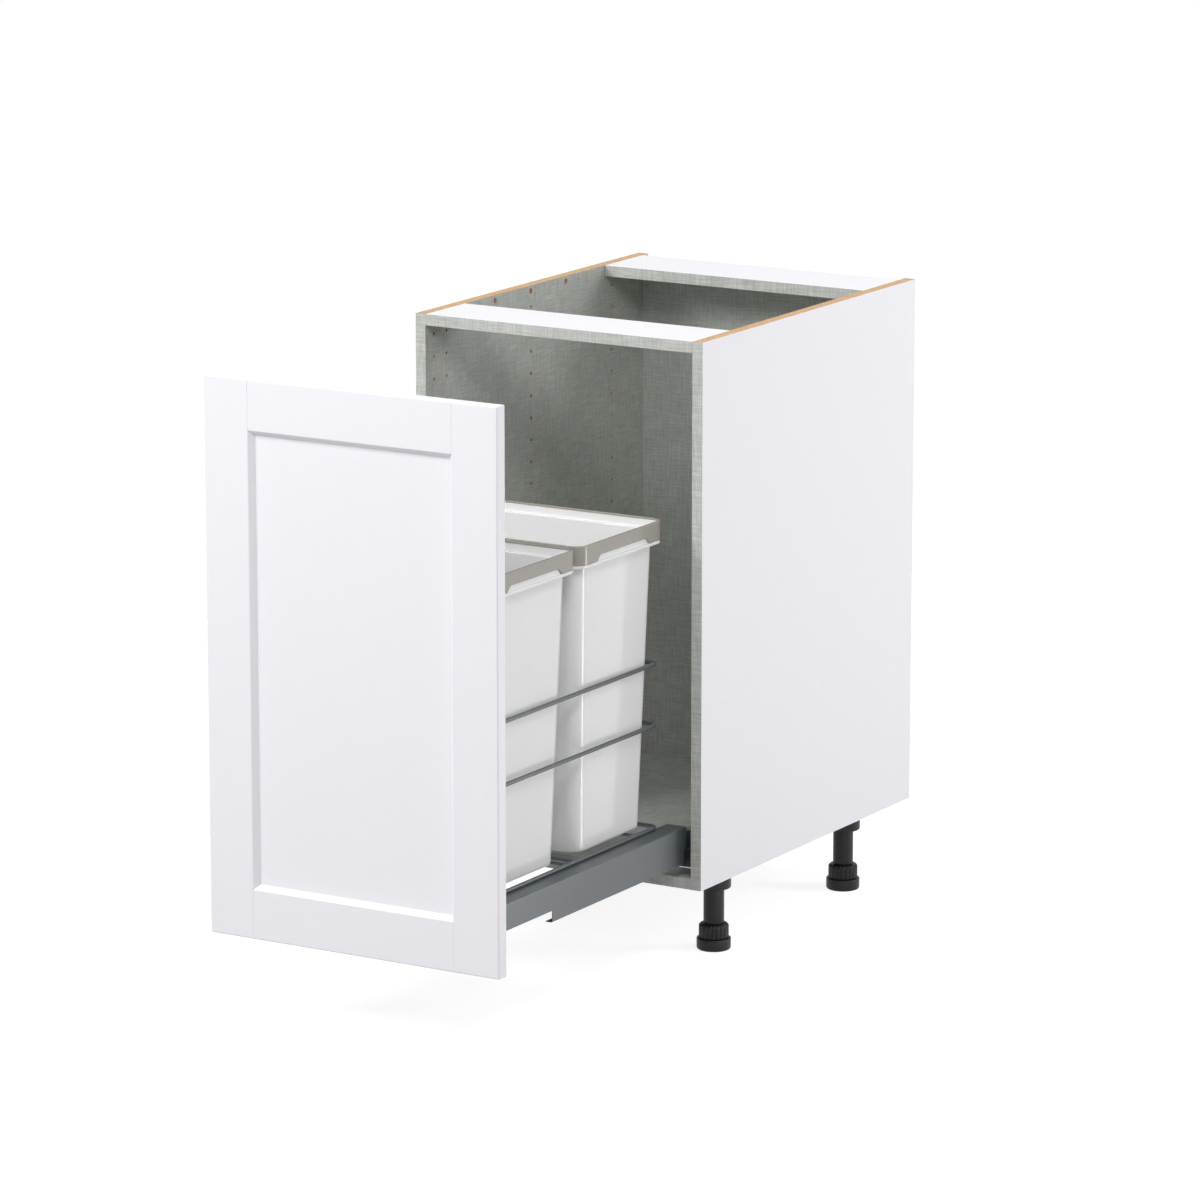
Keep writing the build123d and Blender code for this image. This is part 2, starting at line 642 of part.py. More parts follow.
def ring_notch(half):
    """Outline of the raised stretch of a skirt, with sloped ends."""
    end = half - RING_TAB
    high = RING_LOW + RING_NOTCH
    return Polygon(
        (-end, RING_LOW), (RING_NOTCH_SLOPE - end, high), (end - RING_NOTCH_SLOPE, high), (end, RING_LOW),
        align=None,
    )


def bag_ring():
    """Moulded ring over the bin's rim: a narrow top band, and a skirt with a raised stretch on each side."""
    body = rounded_slab(RING_X, RING_Y, RING_CORNER, RING_LOW, RING_H)
    body = fillet(body.faces().sort_by(Axis.Z)[-1].edges(), RING_ROUND)
    skirt = (RING_X - RING_T, RING_Y - RING_T, RING_CORNER - RING_T)
    mouth = (RING_X - RING_TOP_W, RING_Y - RING_TOP_W, RING_CORNER - RING_TOP_W)
    body -= rounded_slab(*skirt, RING_LOW, RING_H - RING_TOP_T)
    body -= rounded_slab(*mouth, RING_LOW, RING_H)
    across_x = extrude(Plane.XZ * ring_notch(RING_X), 2 * RING_Y, both=True)
    across_y = extrude(Plane.YZ * ring_notch(RING_Y), 2 * RING_X, both=True)
    return body - across_x - across_y


def case_nodes():
    side = side_panel()
    return {
        "side_panel_right": side,
        "side_panel_left": left_of(side),
        "bottom_panel": bottom_panel(),
        "back_panel": back_panel(),
        "front_stretcher": stretcher("front", CASE_FRONT, STRETCHER_FRONT_D),
        "rear_stretcher": stretcher("rear", BACK_IN - STRETCHER_REAR_D, STRETCHER_REAR_D),
        "case_dowels": case_dowels(),
    }


def leg_nodes():
    nodes = {}
    for row, y in LEG_YS.items():
        for side, x in (("left", -LEG_X), ("right", LEG_X)):
            nodes[f"leg_socket_{row}_{side}"] = leg_socket(x, y)
            nodes[f"leg_tube_{row}_{side}"] = leg_tube(x, y)
            nodes[f"foot_collar_{row}_{side}"] = foot_collar(x, y)
            nodes[f"foot_cup_{row}_{side}"] = foot_cup(x, y)
    return nodes


def runner_nodes():
    pieces = {
        "cabinet_rail": cabinet_rail(),
        "rail_cap": rail_cap(),
        "middle_member": middle_member(),
        "drawer_member": drawer_member(),
        "side_profile": side_profile(),
        "front_bracket": front_bracket(),
    }
    cages = {"outer_cage": outer_cage(), "inner_cage": inner_cage()}
    nodes = {"rail_screws": rail_screws(), "front_screws": front_screws()}
    for name, piece in pieces.items():
        nodes[name + "_right"] = piece
        nodes[name + "_left"] = left_of(piece)
    for name, solids in cages.items():
        nodes[name + "_right"] = solids
        nodes[name + "_left"] = [left_of(solid) for solid in solids]
    return nodes


def frame_nodes():
    return {
        "base_wire": gallery_wire(WIRE_Z),
        "gallery_wire_lower": gallery_wire(WIRE_Z + GALLERY_LOW),
        "gallery_wire_upper": gallery_wire(WIRE_Z + GALLERY_HIGH),
        "cross_wires": cross_wires(),
    }


def bin_nodes():
    body = bin_body()
    ring = bag_ring()
    nodes = {}
    for row, y in BIN_CENTRES.items():
        nodes[f"bin_{row}"] = Pos(0, y, 0) * body
        nodes[f"bag_ring_{row}"] = Pos(0, y, 0) * ring
    return nodes


def write_nodes():
    os.makedirs("parts", exist_ok=True)
    nodes = case_nodes() | leg_nodes() | runner_nodes() | frame_nodes() | door_parts() | bin_nodes()
    for name, piece in nodes.items():
        shape = Compound(children=piece) if isinstance(piece, list) else piece
        export_step(shape, f"parts/{name}.step")


write_nodes()
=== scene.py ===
import math

import bmesh
import bpy
from mathutils import Matrix, Vector


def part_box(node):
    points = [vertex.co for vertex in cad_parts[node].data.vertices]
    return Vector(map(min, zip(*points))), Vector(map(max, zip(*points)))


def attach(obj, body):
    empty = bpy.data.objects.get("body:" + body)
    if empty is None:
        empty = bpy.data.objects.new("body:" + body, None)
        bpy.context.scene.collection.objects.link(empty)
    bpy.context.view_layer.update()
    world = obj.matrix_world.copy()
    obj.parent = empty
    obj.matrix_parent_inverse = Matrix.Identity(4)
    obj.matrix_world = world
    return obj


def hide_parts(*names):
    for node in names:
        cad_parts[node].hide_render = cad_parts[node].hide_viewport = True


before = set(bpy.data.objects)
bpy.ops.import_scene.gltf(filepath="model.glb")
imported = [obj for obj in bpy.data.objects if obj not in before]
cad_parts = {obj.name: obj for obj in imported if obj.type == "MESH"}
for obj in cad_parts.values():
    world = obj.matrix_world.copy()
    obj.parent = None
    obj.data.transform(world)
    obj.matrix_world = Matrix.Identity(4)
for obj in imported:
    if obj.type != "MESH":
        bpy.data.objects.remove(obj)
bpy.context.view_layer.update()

# Side panels. Each is a 16 mm particle board with white melamine on its outer face and a grey linen
# print on its inner face and front edge band. The other edges are sawn and stay raw, and columns of
# 5 mm holes for shelf pins are drilled from inside.
MM = 0.001
X, Y, Z = 0, 1, 2
LOW, HIGH = 0, 1


def linear(code):
    """An sRGB hex colour as linear RGBA."""
    parts = [int(code[i:i + 2], 16) / 255 for i in (1, 3, 5)]
    light = [part / 12.92 if part <= 0.04045 else ((part + 0.055) / 1.055) ** 2.4 for part in parts]
    return (*light, 1.0)


def add(tree, kind, settings, inputs):
    """Adds a shader node with its settings, and with its inputs as values or as links."""
    node = tree.nodes.new("ShaderNode" + kind)
    for name, value in settings.items():
        setattr(node, name, value)
    for key, value in inputs.items():
        if isinstance(value, bpy.types.NodeSocket):
            tree.links.new(value, node.inputs[key])
        else:
            node.inputs[key].default_value = value
    return node


def start_finish(name, sockets):
    """Starts a material with these shader values, and gives it back with its tree and its shader."""
    made = bpy.data.materials.new(name)
    made.use_nodes = True
    shader = made.node_tree.nodes["Principled BSDF"]
    for key, value in sockets.items():
        shader.inputs[key].default_value = value
    return made, made.node_tree, shader


# White melamine paper, pressed on a satin plate: even and pale, with a very fine pearl grain.
PEARL_GRAIN = 1.4 * MM  # the real 0.3 mm is too fine to show
white_melamine, tree, shader = start_finish("melamine_white_satin_pressed", {
    "Base Color": linear("#f1f0f5")})
place = add(tree, "TexCoord", {}, {})
grain = add(tree, "TexNoise", {}, {
    "Vector": place.outputs["Object"], "Scale": 1 / PEARL_GRAIN, "Detail": 2.0})
satin = add(tree, "MapRange", {}, {"Value": grain.outputs["Fac"], "To Min": 0.38, "To Max": 0.5})
pearl = add(tree, "Bump", {}, {"Height": grain.outputs["Fac"], "Strength": 0.08, "Distance": 0.05 * MM})
tree.links.new(satin.outputs["Result"], shader.inputs["Roughness"])
tree.links.new(pearl.outputs["Normal"], shader.inputs["Normal"])

# Linen-print melamine, pressed: grey crossed threads with slubs, along and across each face. Threads
# that run along an axis show only on the faces beside it.
LINEN_THREAD = 1.6 * MM  # the real thread of about 0.5 mm is too fine to show
LINEN_SLUB = 34.0 * MM
LINEN_CLOUD = 45.0 * MM
BY, FROM, TO, MIXED = 0, 6, 7, 2  # the sockets of a Mix node that mixes colours
linen, tree, shader = start_finish("melamine_grey_linen_pressed", {"Roughness": 0.48})
place = add(tree, "TexCoord", {}, {})
facing = add(tree, "SeparateXYZ", {}, {"Vector": place.outputs["Normal"]})
woven = 0.0
for axis in (X, Y, Z):
    spacing = [1 / LINEN_THREAD] * 3
    spacing[axis] = 1 / LINEN_SLUB
    drawn = add(tree, "VectorMath", {"operation": "MULTIPLY"}, {0: place.outputs["Object"], 1: spacing})
    thread = add(tree, "TexNoise", {}, {
        "Vector": drawn.outputs["Vector"], "Scale": 1.0, "Detail": 3.0, "Roughness": 0.6})
    along = add(tree, "Math", {"operation": "ABSOLUTE"}, {0: facing.outputs[axis]})
    beside = add(tree, "Math", {"operation": "SUBTRACT"}, {0: 1.0, 1: along.outputs["Value"]})
    woven = add(tree, "Math", {"operation": "MULTIPLY_ADD"}, {
        0: thread.outputs["Fac"], 1: beside.outputs["Value"], 2: woven}).outputs["Value"]
cloud = add(tree, "TexNoise", {}, {
    "Vector": place.outputs["Object"], "Scale": 1 / LINEN_CLOUD, "Detail": 1.0})
tone = add(tree, "MapRange", {}, {"Value": woven, "From Min": 0.78, "From Max": 1.22})
uneven = add(tree, "MapRange", {}, {"Value": cloud.outputs["Fac"], "To Min": 0.93, "To Max": 1.07})
threads = add(tree, "Mix", {"data_type": "RGBA"}, {
    BY: tone.outputs["Result"], FROM: linear("#aaaca6"), TO: linear("#cbcdc8")})
shaded = add(tree, "Mix", {"data_type": "RGBA", "blend_type": "MULTIPLY"}, {
    BY: 1.0, FROM: threads.outputs[MIXED], TO: uneven.outputs["Result"]})
weave = add(tree, "Bump", {}, {"Height": woven, "Strength": 0.15, "Distance": 0.08 * MM})
tree.links.new(shaded.outputs[MIXED], shader.inputs["Base Color"])
tree.links.new(weave.outputs["Normal"], shader.inputs["Normal"])

# Raw particle board, sawn: tan chips pressed flat, rough to the light.
CHIP = 2.6 * MM
CHIP_RUN = 7.0 * MM
DUST_TO_CHIP = 3.0  # grains of dust along a chip
CHIP_CONTRAST = 0.45
raw_board, tree, shader = start_finish("particle_board_sawn", {"Roughness": 0.9})
place = add(tree, "TexCoord", {}, {})
pressed = add(tree, "VectorMath", {"operation": "MULTIPLY"}, {
    0: place.outputs["Object"], 1: (1 / CHIP, 1 / CHIP_RUN, 1 / CHIP)})
chips = add(tree, "TexVoronoi", {}, {"Vector": pressed.outputs["Vector"], "Scale": 1.0})
dust = add(tree, "TexNoise", {}, {
    "Vector": pressed.outputs["Vector"], "Scale": DUST_TO_CHIP, "Detail": 4.0})
chip_tone = add(tree, "SeparateColor", {}, {"Color": chips.outputs["Color"]})
chip_mix = add(tree, "Math", {"operation": "MULTIPLY_ADD"}, {
    0: chip_tone.outputs["Red"], 1: CHIP_CONTRAST, 2: dust.outputs["Fac"]})
tan = add(tree, "Mix", {"data_type": "RGBA"}, {
    BY: chip_mix.outputs["Value"], FROM: linear("#a47a52"), TO: linear("#dcb78e")})
crumb = add(tree, "Bump", {}, {
    "Height": chip_mix.outputs["Value"], "Strength": 0.5, "Distance": 0.2 * MM})
tree.links.new(tan.outputs[MIXED], shader.inputs["Base Color"])
tree.links.new(crumb.outputs["Normal"], shader.inputs["Normal"])

FACE_REACH = 0.02 * MM  # the play within which points meet each other or a side of a board


def dress_board(name, faces):
    """Leaves a board raw, apart from the facing that each (axis, end) of its box is given."""
    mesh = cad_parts[name].data
    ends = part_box(name)
    finishes = [raw_board] + list(dict.fromkeys(faces.values()))
    mesh.materials.clear()
    for coat in finishes:
        mesh.materials.append(coat)
    for face in mesh.polygons:
        face.material_index = 0
        for (axis, end), coat in faces.items():
            level = ends[end][axis]
            if all(abs(mesh.vertices[v].co[axis] - level) < FACE_REACH for v in face.vertices):
                face.material_index = finishes.index(coat)


for side, outer, inner in (("left", LOW, HIGH), ("right", HIGH, LOW)):
    dress_board(f"side_panel_{side}", {
        (X, outer): white_melamine, (X, inner): linen, (Y, LOW): linen})

# Bottom, back and the two top stretchers. They are cut from the same two-tone board, with linen to the
# inside and on the edge bands and white to the outside, and are dowelled and glued between the sides.
BAND_EDGE = 0.5 * MM
EDGE_ANGLE = math.radians(35)
EDGE_STEPS = 2


def even_shading(piece):
    """Lets the broad faces of a piece set its shading, so that the narrow ones look rounded."""
    piece.modifiers.new("normals", "WEIGHTED_NORMAL").keep_sharp = True


def soften(piece, width):
    """Takes the sharp edges off a piece by a width, as the tool or mould that made it does."""
    weld = piece.modifiers.new("joined", "WELD")
    weld.merge_threshold = FACE_REACH
    edge = piece.modifiers.new("edge", "BEVEL")
    edge.width = width
    edge.segments = EDGE_STEPS
    edge.limit_method = "ANGLE"
    edge.angle_limit = EDGE_ANGLE
    edge.use_clamp_overlap = False
    edge.loop_slide = False  # it folds the long thin faces over
    even_shading(piece)


dress_board("bottom_panel", {(Z, HIGH): linen, (Y, LOW): linen, (Z, LOW): white_melamine})
dress_board("back_panel", {(Y, LOW): linen, (Y, HIGH): white_melamine})
for name in ("front_stretcher", "rear_stretcher"):
    dress_board(name, {(Z, HIGH): white_melamine, (Z, LOW): linen, (Y, LOW): linen, (Y, HIGH): linen})
for name in ("bottom_panel", "back_panel", "front_stretcher", "rear_stretcher"):
    soften(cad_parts[name], BAND_EDGE)

# Dowels. Pins of turned beech, 8 mm across, that are glued into bores in the boards and hold them
# together at each corner of the case.
# Beech, turned: pale brown with fine darker flecks along the pin.
FLECK = 0.8 * MM
FLECK_RUN = 9.0 * MM
beech, tree, shader = start_finish("beech_turned", {"Roughness": 0.6})
place = add(tree, "TexCoord", {}, {})
grown = add(tree, "VectorMath", {"operation": "MULTIPLY"}, {
    0: place.outputs["Object"], 1: (1 / FLECK_RUN, 1 / FLECK, 1 / FLECK)})
fleck = add(tree, "TexNoise", {}, {"Vector": grown.outputs["Vector"], "Scale": 1.0, "Detail": 3.0})
pale = add(tree, "Mix", {"data_type": "RGBA"}, {
    BY: fleck.outputs["Fac"], FROM: linear("#a77b4f"), TO: linear("#dcb98d")})
tree.links.new(pale.outputs[MIXED], shader.inputs["Base Color"])


def coat_node(name, coat):
    """Gives a CAD node one finish, and gives back its object."""
    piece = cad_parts[name]
    piece.data.materials.clear()
    piece.data.materials.append(coat)
    return piece


coat_node("case_dowels", beech)

# Levelling legs. Each is four mouldings of black polypropylene: a socket pegged under the bottom, a
# tube pushed into it, a ribbed collar that turns on its thread, and a cup that stands on the floor.
# Polypropylene, moulded in a spark-eroded tool: near black with a soft sheen.
SPARK_GRAIN = 1.0 * MM  # the real 0.2 mm is too fine to show
black_plastic, tree, shader = start_finish("polypropylene_black_moulded", {
    "Base Color": linear("#161616"), "Specular IOR Level": 0.3})
place = add(tree, "TexCoord", {}, {})
spark = add(tree, "TexNoise", {}, {
    "Vector": place.outputs["Object"], "Scale": 1 / SPARK_GRAIN, "Detail": 3.0})
sheen = add(tree, "MapRange", {}, {"Value": spark.outputs["Fac"], "To Min": 0.34, "To Max": 0.52})
eroded = add(tree, "Bump", {}, {"Height": spark.outputs["Fac"], "Strength": 0.2, "Distance": 0.06 * MM})
tree.links.new(sheen.outputs["Result"], shader.inputs["Roughness"])
tree.links.new(eroded.outputs["Normal"], shader.inputs["Normal"])

SAME_POINT = 0.001 * MM
ARC_STEPS = 4
ROUND_STEPS = 64


def span(name, axis):
    """Where a CAD node starts and ends along an axis."""
    return [corner[axis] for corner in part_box(name)]


def middle(name, axis):
    """The middle of a CAD node along an axis."""
    return sum(span(name, axis)) / 2


def half(name, axis):
    """Half of a CAD node's size along an axis."""
    low, high = span(name, axis)
    return (high - low) / 2


def eased(corners, closed=True, steps=ARC_STEPS):
    """The line through (point, radius) corners, each rounded by a quarter turn of its radius."""
    line = []
    for i, (point, radius) in enumerate(corners):
        corner = Vector(point)
        if radius == 0 or (not closed and i in (0, len(corners) - 1)):
            line.append(corner)
            continue
        back = (Vector(corners[i - 1][0]) - corner).normalized()
        onward = (Vector(corners[(i + 1) % len(corners)][0]) - corner).normalized()
        centre = corner + (back + onward) * radius
        for k in range(steps + 1):
            turn = math.pi / 2 * k / steps
            line.append(centre - onward * radius * math.cos(turn) - back * radius * math.sin(turn))
    return line


def make(name, bm, coat):
    """Turns a bmesh into a smooth piece with one finish, sharp only where its faces really turn."""
    bmesh.ops.remove_doubles(bm, verts=bm.verts, dist=SAME_POINT)
    bmesh.ops.recalc_face_normals(bm, faces=bm.faces)
    mesh = bpy.data.meshes.new(name)
    bm.to_mesh(mesh)
    bm.free()
    mesh.materials.append(coat)
    mesh.shade_smooth()
    mesh.set_sharp_from_angle(angle=EDGE_ANGLE)
    piece = bpy.data.objects.new(name, mesh)
    bpy.context.collection.objects.link(piece)
    return piece


def join_rings(bm, rings):
    """Faces between each ring of points and the next, all round."""
    for low, high in zip(rings, rings[1:]):
        for i in range(len(low)):
            bm.faces.new((low[i - 1], low[i], high[i], high[i - 1]))


def once_round(steps):
    """Angles, evenly spaced, once round."""
    return [2 * math.pi * i / steps for i in range(steps)]


def turned(bm, axis, line, steps, shape):
    """A closed (radius, height) line turned about an upright axis; shape gives the radius at an angle."""
    rings = []
    for radius, height in line:
        ring = []
        for angle in once_round(steps):
            reach = shape(radius, angle)
            ring.append(bm.verts.new((
                axis[X] + reach * math.cos(angle), axis[Y] + reach * math.sin(angle), height)))
        rings.append(ring)
    join_rings(bm, rings + rings[:1])


SOCKET_BORE_H = 19.0 * MM
PEG_R = 5.0 * MM
TUBE_WALL = 4.6 * MM
COLLAR_H = 20.2 * MM
COLLAR_TOP = 2.6 * MM
STEM_R = 9.7 * MM
PIVOT_R = 8.0 * MM
PIVOT_H = 6.0 * MM
RUN_PLAY = 0.3 * MM
RIBS = 20
RIB_STEPS = 12
RIB_GROOVE = 0.42  # share of the way from rib to rib
RIB_DEPTH = 1.1 * MM
SEAM = 0.12 * MM
SEAM_TURN = math.radians(3)
SOCKET_MOUTH_EASE = 0.6 * MM
SOCKET_RIM_EASE = 2.8 * MM
SOCKET_SEAT_EASE = 0.5 * MM
TIP_EASE = 1.0 * MM
TUBE_RIM_EASE = 0.8 * MM
TUBE_BORE_EASE = 0.4 * MM
COLLAR_RIM_EASE = 0.8 * MM
COLLAR_TOP_EASE = 0.6 * MM
CUP_FOOT_EASE = 3.2 * MM
CUP_RIM_EASE = 1.2 * MM
CUP_MOUTH_EASE = 0.5 * MM
FLOOR_LEVEL = 0.0
FEET = ("front_left", "front_right", "rear_left", "rear_right")

# The four legs are alike, so their outlines are drawn once, from the first.
socket_r, tube_r, collar_r, cup_r = [
    half(f"{kind}_{FEET[0]}", X) for kind in ("leg_socket", "leg_tube", "foot_collar", "foot_cup")]
underside = span("bottom_panel", Z)[LOW]
socket_mouth, peg_tip = span(f"leg_socket_{FEET[0]}", Z)
socket_end = socket_mouth + SOCKET_BORE_H
tube_foot, tube_top = span(f"leg_tube_{FEET[0]}", Z)
tube_bore = tube_r - TUBE_WALL
cup_top = span(f"foot_cup_{FEET[0]}", Z)[HIGH]
cup_bore = PIVOT_R + RUN_PLAY
cup_floor = cup_top - PIVOT_H
pivot_tip, stem_tip = span(f"foot_collar_{FEET[0]}", Z)
collar_foot = cup_top + RUN_PLAY
collar_top = collar_foot + COLLAR_H
socket_line = eased([
    ((tube_r, socket_mouth), SOCKET_MOUTH_EASE), ((socket_r, socket_mouth), SOCKET_RIM_EASE),
    ((socket_r, underside), SOCKET_SEAT_EASE), ((PEG_R, underside), 0), ((PEG_R, peg_tip), TIP_EASE),
    ((0, peg_tip), 0), ((0, socket_end), 0), ((tube_r, socket_end), 0)])
tube_line = eased([
    ((tube_bore, tube_foot), TUBE_BORE_EASE), ((tube_r, tube_foot), TUBE_RIM_EASE),
    ((tube_r, tube_top), TUBE_RIM_EASE), ((tube_bore, tube_top), TUBE_BORE_EASE)])
collar_line = eased([
    ((0, pivot_tip), 0), ((PIVOT_R, pivot_tip), COLLAR_RIM_EASE), ((PIVOT_R, collar_foot), 0),
    ((collar_r, collar_foot), COLLAR_RIM_EASE), ((collar_r, collar_top - COLLAR_TOP), COLLAR_RIM_EASE),
    ((collar_r - COLLAR_TOP, collar_top), COLLAR_TOP_EASE), ((STEM_R, collar_top), 0),
    ((STEM_R, stem_tip), TIP_EASE), ((0, stem_tip), 0)])
cup_line = eased([
    ((0, FLOOR_LEVEL), 0), ((cup_r, FLOOR_LEVEL), CUP_FOOT_EASE), ((cup_r, cup_top), CUP_RIM_EASE),
    ((cup_bore, cup_top), CUP_MOUTH_EASE), ((cup_bore, cup_floor), 0), ((0, cup_floor), 0)])


def plain(radius, angle):
    """A round wall."""
    return radius


def seamed(radius, angle):
    """A round wall with the fine raised line that the two halves of a mould leave on it."""
    return radius - SEAM * (abs(math.sin(angle)) > math.sin(SEAM_TURN))


def ribbed(radius, angle):
    """The collar's outer wall, with round grooves between its grip ribs."""
    part = angle * RIBS / (2 * math.pi) % 1.0
    if radius < collar_r - COLLAR_TOP or part > RIB_GROOVE:
        return radius
    return radius - RIB_DEPTH * math.sin(math.pi * part / RIB_GROOVE)


for foot in FEET:
    axis = [middle(f"foot_cup_{foot}", way) for way in (X, Y)]
    for kind, line, steps, shape, body in (
            ("leg_socket", socket_line, ROUND_STEPS, plain, "case"),
            ("leg_tube", tube_line, ROUND_STEPS, seamed, "case"),
            ("foot_collar", collar_line, RIBS * RIB_STEPS, ribbed, f"{foot}_collar"),
            ("foot_cup", cup_line, ROUND_STEPS, plain, f"{foot}_cup")):
        bm = bmesh.new()
        turned(bm, axis, line, steps, shape)
        piece = make(f"{kind}_{foot}_moulded", bm, black_plastic)
        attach(piece, body)
        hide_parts(f"{kind}_{foot}")

# Runners. Each side has three channels rolled from zinc-plated strip that slide in one another on caged
# rollers, so the pull-out comes right out of the case. The outer one is screwed to the side panel.
# Zinc plate, bright: cool grey metal with fine lines along the rolled strip.
ROLL_LINE = 0.9 * MM  # the real 0.2 mm is too fine to show
ROLL_RUN = 60.0 * MM
zinc, tree, shader = start_finish("steel_zinc_plated_rolled", {
    "Base Color": linear("#b9bcbf"), "Metallic": 1.0})
place = add(tree, "TexCoord", {}, {})
rolled = add(tree, "VectorMath", {"operation": "MULTIPLY"}, {
    0: place.outputs["Object"], 1: (1 / ROLL_LINE, 1 / ROLL_RUN, 1 / ROLL_LINE)})
lines = add(tree, "TexNoise", {}, {"Vector": rolled.outputs["Vector"], "Scale": 1.0, "Detail": 3.0})
bright = add(tree, "MapRange", {}, {"Value": lines.outputs["Fac"], "To Min": 0.24, "To Max": 0.42})
scored = add(tree, "Bump", {}, {"Height": lines.outputs["Fac"], "Strength": 0.1, "Distance": 0.03 * MM})
tree.links.new(bright.outputs["Result"], shader.inputs["Roughness"])
tree.links.new(scored.outputs["Normal"], shader.inputs["Normal"])

# Nylon, natural and moulded: ivory, slightly milky, with a smooth wax-like sheen.
FLOW = 6.0 * MM
nylon, tree, shader = start_finish("nylon_natural_moulded", {
    "Roughness": 0.38, "Subsurface Weight": 0.05})
place = add(tree, "TexCoord", {}, {})
flow = add(tree, "TexNoise", {}, {"Vector": place.outputs["Object"], "Scale": 1 / FLOW})
milky = add(tree, "Mix", {"data_type": "RGBA"}, {
    BY: flow.outputs["Fac"], FROM: linear("#d9d6c9"), TO: linear("#e8e6dc")})
tree.links.new(milky.outputs[MIXED], shader.inputs["Base Color"])

FOLD_EDGE = 0.3 * MM
CAGE_EDGE = 0.15 * MM
CAP_EDGE = 0.6 * MM
for side in ("left", "right"):
    for name in ("cabinet_rail", "middle_member", "drawer_member"):
        soften(coat_node(f"{name}_{side}", zinc), FOLD_EDGE)
    for name in ("outer_cage", "inner_cage"):
        soften(coat_node(f"{name}_{side}", nylon), CAGE_EDGE)
    soften(coat_node(f"rail_cap_{side}", black_plastic), CAP_EDGE)

# Runner and front screws. Pan-head screws with a cross recess, zinc plated: the short ones hold the
# runners to the side panels and the long ones hold the front to its brackets.
RECESS_ARM = 0.46  # shares of the head's radius
RECESS_HALF = 0.1
HEAD_FLAT = 0.62
RECESS_DEPTH = 0.7  # shares of the head's height
HEAD_UNDER_EASE = 0.2
HEAD_TOP_EASE = 0.55
RECESS_TAPER = 0.7  # share of the recess's mouth
THREAD_ROOT = 0.78  # shares of the shank's radius
SCREW_TIP = 0.39
THREAD_RISE = 0.6  # share of a turn
THREAD_TURNS = 9
SCREW_STEPS = 32


def add_screw(bm, place, head_r, head_h, shank_r, shank_l):
    """A pan-head screw: its seat lies on the origin of place, its head goes up Z and its shank down."""
    new = []

    def point(x, y, z):
        new.append(bm.verts.new((x, y, z)))
        return new[-1]

    def ring(radius, z):
        return [point(radius * math.cos(angle), radius * math.sin(angle), z)
                for angle in once_round(SCREW_STEPS)]

    pitch = shank_l / (THREAD_TURNS + 1)
    rings = [ring(shank_r * SCREW_TIP, -shank_l)]
    for k in range(THREAD_TURNS):
        rings.append(ring(shank_r * THREAD_ROOT, -shank_l + pitch * (k + THREAD_RISE)))
        rings.append(ring(shank_r, -shank_l + pitch * (k + 1)))
    rings.append(ring(shank_r, 0))
    pan = eased([
        ((shank_r, 0), 0), ((head_r, 0), HEAD_UNDER_EASE * head_h),
        ((head_r, head_h), HEAD_TOP_EASE * head_h), ((head_r * HEAD_FLAT, head_h), 0)], closed=False)
    rings += [ring(radius, z) for radius, z in pan]
    join_rings(bm, rings)
    bm.faces.new(rings[0])
    far, near = head_r * RECESS_ARM, head_r * RECESS_HALF
    cross = [(far, -near), (far, near), (near, near), (near, far), (-near, far), (-near, near),
             (-far, near), (-far, -near), (-near, -near), (-near, -far), (near, -far), (near, -near)]
    mouth = [point(x, y, head_h) for x, y in cross]
    deep = head_h * (1 - RECESS_DEPTH)
    bottom = [point(x * RECESS_TAPER, y * RECESS_TAPER, deep) for x, y in cross]
    join_rings(bm, [mouth, bottom])
    bm.faces.new(bottom)
    rims = []
    for loop in (rings[-1], mouth):
        rims += [bm.edges.get((a, b)) or bm.edges.new((a, b)) for a, b in zip(loop, loop[1:] + loop[:1])]
    bmesh.ops.triangle_fill(bm, edges=rims, use_beauty=True)
    bmesh.ops.transform(bm, matrix=place, verts=new)


RAIL_SCREW_HEAD_R = 4.0 * MM
RAIL_SCREW_HEAD_H = 2.2 * MM
RAIL_SCREW_R = 2.3 * MM
RAIL_SCREW_L = 10.0 * MM
rail_low, rail_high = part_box("rail_screws")
rail_z = middle("rail_screws", Z)
rail_ys = (rail_low[Y] + RAIL_SCREW_HEAD_R, middle("rail_screws", Y), rail_high[Y] - RAIL_SCREW_HEAD_R)
bm = bmesh.new()
for side in (-1, 1):
    seat = side * (rail_high[X] - RAIL_SCREW_L)
    inward = Matrix.Rotation(-side * math.pi / 2, 4, "Y")
    for y in rail_ys:
        add_screw(bm, Matrix.Translation((seat, y, rail_z)) @ inward,
                  RAIL_SCREW_HEAD_R, RAIL_SCREW_HEAD_H, RAIL_SCREW_R, RAIL_SCREW_L)
piece = make("runner_screws_plated", bm, zinc)
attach(piece, "case")
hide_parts("rail_screws")

FRONT_SCREW_HEAD_R = 4.5 * MM
FRONT_SCREW_HEAD_H = 2.6 * MM
FRONT_SCREW_R = 2.0 * MM
screw_low, screw_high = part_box("front_screws")
screw_x = screw_high[X] - FRONT_SCREW_HEAD_R
screw_seat = screw_high[Y] - FRONT_SCREW_HEAD_H
screw_zs = (screw_low[Z] + FRONT_SCREW_HEAD_R, middle("front_screws", Z),
            screw_high[Z] - FRONT_SCREW_HEAD_R)
backward = Matrix.Rotation(-math.pi / 2, 4, "X")
bm = bmesh.new()
for side in (-1, 1):
    for z in screw_zs:
        add_screw(bm, Matrix.Translation((side * screw_x, screw_seat, z)) @ backward,
                  FRONT_SCREW_HEAD_R, FRONT_SCREW_HEAD_H, FRONT_SCREW_R, screw_seat - screw_low[Y])
piece = make("front_screws_plated", bm, zinc)
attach(piece, "pullout")
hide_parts("front_screws")

